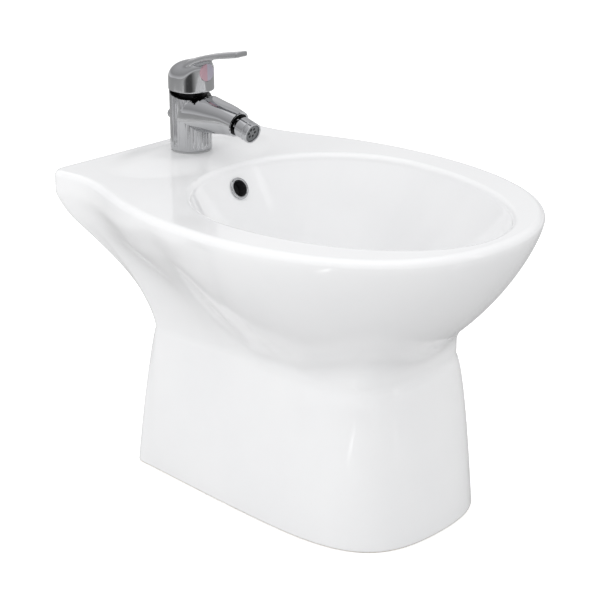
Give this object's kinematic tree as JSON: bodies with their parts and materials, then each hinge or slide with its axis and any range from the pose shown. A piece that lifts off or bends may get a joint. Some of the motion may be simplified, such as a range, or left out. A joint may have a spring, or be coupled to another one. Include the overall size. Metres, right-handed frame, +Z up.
{
  "type": "floor-standing bidet",
  "caption": "Floor-standing glazed ceramic bidet with a single-lever mixer, swivel nozzle, overflow and pop-up waste.",
  "frame": {"origin": "on the floor, under the middle of the pan's overall length and width", "axes": "+Z up, +Y towards the wall side, the front of the pan towards -Y, the left and right halves mirror in X"},
  "size_m": [0.4112, 0.5601, 0.51],
  "materials": {
    "ceramic": "white gloss glaze",
    "chrome": "polished plating",
    "rubber": "matt black",
    "steel": "zinc plated",
    "brass": "machined",
    "white_plastic": "moulded",
    "disc": "lapped",
    "hot": "gloss red",
    "cold": "gloss blue"
  },
  "bodies": {
    "pan": {"ceramic_body": "ceramic", "overflow_ring": "chrome", "tap_gasket": "rubber", "mixer_body": "chrome", "cartridge_body": "white_plastic", "fixed_disc": "disc", "cartridge_lid": "white_plastic", "cartridge_nut": "brass", "dome_cap": "chrome", "nozzle_collar": "chrome", "mounting_stud": "steel", "clamp_gasket": "rubber", "clamp_washer": "steel", "stud_nut": "brass", "waste_flange": "chrome", "waste_seal": "rubber", "waste_body": "chrome", "waste_gasket": "rubber", "waste_nut": "brass", "waste_tail": "chrome", "pivot_gasket": "rubber", "pivot_nut": "chrome"},
    "cartridge": {"cartridge_rotor": "white_plastic", "cartridge_pin": "steel", "moving_disc": "disc"},
    "lever": {"cartridge_stem": "brass", "lever_handle": "chrome", "lever_screw": "steel", "hot_mark": "hot", "cold_mark": "cold"},
    "swivel_ring": {"swivel_seat": "white_plastic"},
    "nozzle": {"nozzle_ball": "chrome", "aerator_housing": "chrome", "aerator_insert": "white_plastic"},
    "lift": {"lift_rod": "chrome", "lift_knob": "chrome", "lift_strap": "steel", "strap_screw": "steel"},
    "pivot": {"pivot_rod": "steel"},
    "plug": {"waste_plug": "chrome", "plug_seal": "rubber"}
  },
  "joints": [
    {"name": "temperature_turn", "type": "hinge", "parent": "pan", "child": "cartridge", "pos_m": [0, 0.202, 0.441], "axis": [0, 0, 1], "range_deg": [-45, 45]},
    {"name": "flow_lift", "type": "hinge", "parent": "cartridge", "child": "lever", "pos_m": [0, 0.202, 0.464], "axis": [1, 0, 0], "range_deg": [0, 16]},
    {"name": "nozzle_swing", "type": "hinge", "parent": "pan", "child": "swivel_ring", "pos_m": [0, 0.128, 0.427], "axis": [0, 0, 1], "range_deg": [-12, 12]},
    {"name": "nozzle_tilt", "type": "hinge", "parent": "swivel_ring", "child": "nozzle", "pos_m": [0, 0.128, 0.427], "axis": [1, 0, 0], "range_deg": [-10, 10]},
    {"name": "knob_lift", "type": "slide", "parent": "pan", "child": "lift", "axis": [0, 0, 1], "range_m": [-0.026, 0]},
    {"name": "pivot_tilt", "type": "hinge", "parent": "pan", "child": "pivot", "pos_m": [0, 0.002, 0.165], "axis": [1, 0, 0], "range_deg": [-15.11, 0]},
    {"name": "plug_rise", "type": "slide", "parent": "pan", "child": "plug", "axis": [0, 0, 1], "range_m": [0, 0.00796]}
  ],
  "couplings": [
    {"joint": "pivot_tilt", "follows": "knob_lift", "rad_per_m": 10.145},
    {"joint": "plug_rise", "follows": "knob_lift", "ratio": -0.30612}
  ]
}
